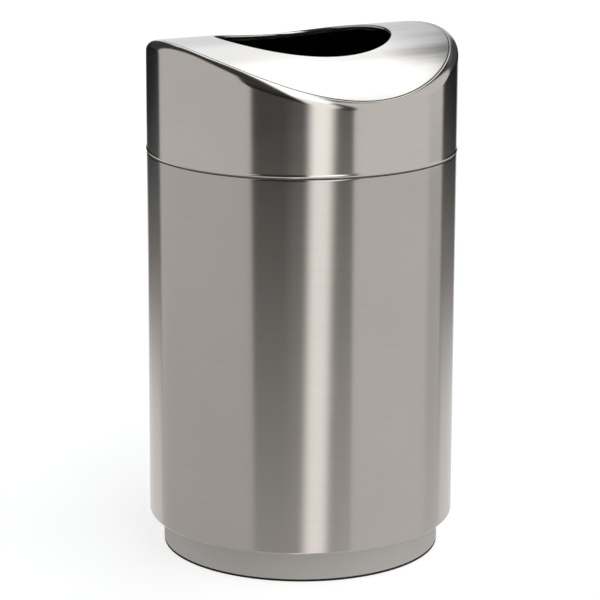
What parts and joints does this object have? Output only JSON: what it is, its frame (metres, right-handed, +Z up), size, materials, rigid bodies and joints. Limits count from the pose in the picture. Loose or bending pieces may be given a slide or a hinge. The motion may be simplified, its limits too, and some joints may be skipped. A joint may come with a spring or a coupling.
{
  "type": "waste receptacle",
  "caption": "Round satin stainless waste receptacle with recessed base, lift-off cover with an arched top and oval opening, and a lift-out galvanised liner with drop handles.",
  "frame": {"origin": "on the floor, at the centre of the base", "axes": "+Z up, X along the crest of the arched top, Y across it towards its low edges"},
  "size_m": [0.5104, 0.5104, 0.86],
  "materials": {
    "satin_stainless": "satin, fine grain round the walls and along the crest of the top",
    "blasted_stainless": "blasted with fine beads, even grey without a grain",
    "mill_stainless": "mill finish sheet",
    "galvanised_sheet": "spangled zinc coating",
    "zinc_plate": "bright zinc plate",
    "black_rubber": "matt"
  },
  "bodies": {
    "receptacle": {"foot_ring": "black_rubber", "base_ring": "blasted_stainless", "body_shell": "satin_stainless", "floor_pan": "mill_stainless", "seat_gasket": "black_rubber", "base_bolt_1": "zinc_plate", "base_bolt_2": "zinc_plate", "base_bolt_3": "zinc_plate", "base_bolt_4": "zinc_plate", "base_bolt_5": "zinc_plate", "base_bolt_6": "zinc_plate", "base_nut_1": "zinc_plate", "base_nut_2": "zinc_plate", "base_nut_3": "zinc_plate", "base_nut_4": "zinc_plate", "base_nut_5": "zinc_plate", "base_nut_6": "zinc_plate"},
    "liner": {"liner_wall": "galvanised_sheet", "liner_bottom": "galvanised_sheet", "left_strap": "galvanised_sheet", "right_strap": "galvanised_sheet", "left_rivet_1": "zinc_plate", "left_rivet_2": "zinc_plate", "right_rivet_1": "zinc_plate", "right_rivet_2": "zinc_plate"},
    "left_handle": {"left_handle": "zinc_plate"},
    "right_handle": {"right_handle": "zinc_plate"},
    "cover": {"cover_skirt": "satin_stainless", "top_panel": "satin_stainless", "locating_ring": "mill_stainless"}
  },
  "joints": [
    {"name": "liner_lift", "type": "slide", "parent": "receptacle", "child": "liner", "axis": [0, 0, 1], "range_m": [0, 0.65]},
    {"name": "cover_lift", "type": "slide", "parent": "liner", "child": "cover", "axis": [0, 0, 1], "range_m": [0, 0.3]},
    {"name": "left_handle_swing", "type": "hinge", "parent": "liner", "child": "left_handle", "pos_m": [-0.22011, 0, 0.624], "axis": [0, -1, 0], "range_deg": [0, 170]},
    {"name": "right_handle_swing", "type": "hinge", "parent": "liner", "child": "right_handle", "pos_m": [0.22011, 0, 0.624], "axis": [0, 1, 0], "range_deg": [0, 170]}
  ]
}
